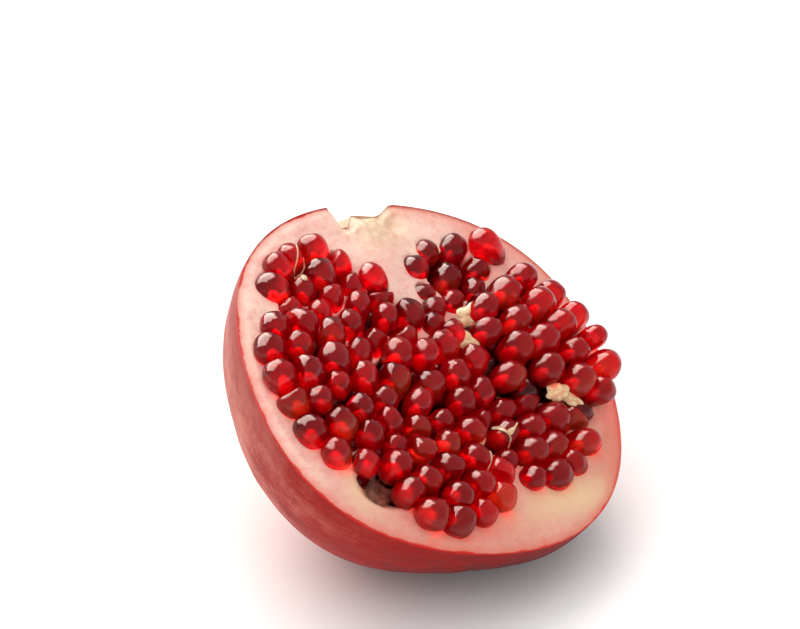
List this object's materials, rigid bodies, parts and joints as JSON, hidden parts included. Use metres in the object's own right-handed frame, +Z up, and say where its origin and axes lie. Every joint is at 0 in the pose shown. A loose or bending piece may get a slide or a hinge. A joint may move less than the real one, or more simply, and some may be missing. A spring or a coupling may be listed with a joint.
{
  "type": "halved pomegranate",
  "caption": "Half of a pomegranate broken open lengthwise, leathery rind and pale pith round chambers heaped with red arils, resting on its rounded back.",
  "frame": {"origin": "middle of the small flat spot on the rounded back that the half rests on", "axes": "+Z up from the table, -Y towards the viewer in the way the half is looked at, +X to the viewer's right; the open face looks up and to the right front, and the crown end points up, left and back"},
  "size_m": [0.0956, 0.0993, 0.0689],
  "materials": {
    "rind": "smooth waxy fruit skin with fine streaks, semi-gloss, deep red to pinkish red",
    "pith": "matte, spongy, cream to pale pink, orange-red along the skin",
    "aril_flesh": "wet, glossy, deep translucent red"
  },
  "bodies": {
    "root": {"rind": "rind", "arils_left": "aril_flesh", "arils_top_left": "aril_flesh", "arils_upper_middle": "aril_flesh", "arils_middle": "aril_flesh", "arils_bottom": "aril_flesh", "arils_bottom_right": "aril_flesh", "arils_right": "aril_flesh", "arils_top_right": "aril_flesh"}
  },
  "joints": []
}
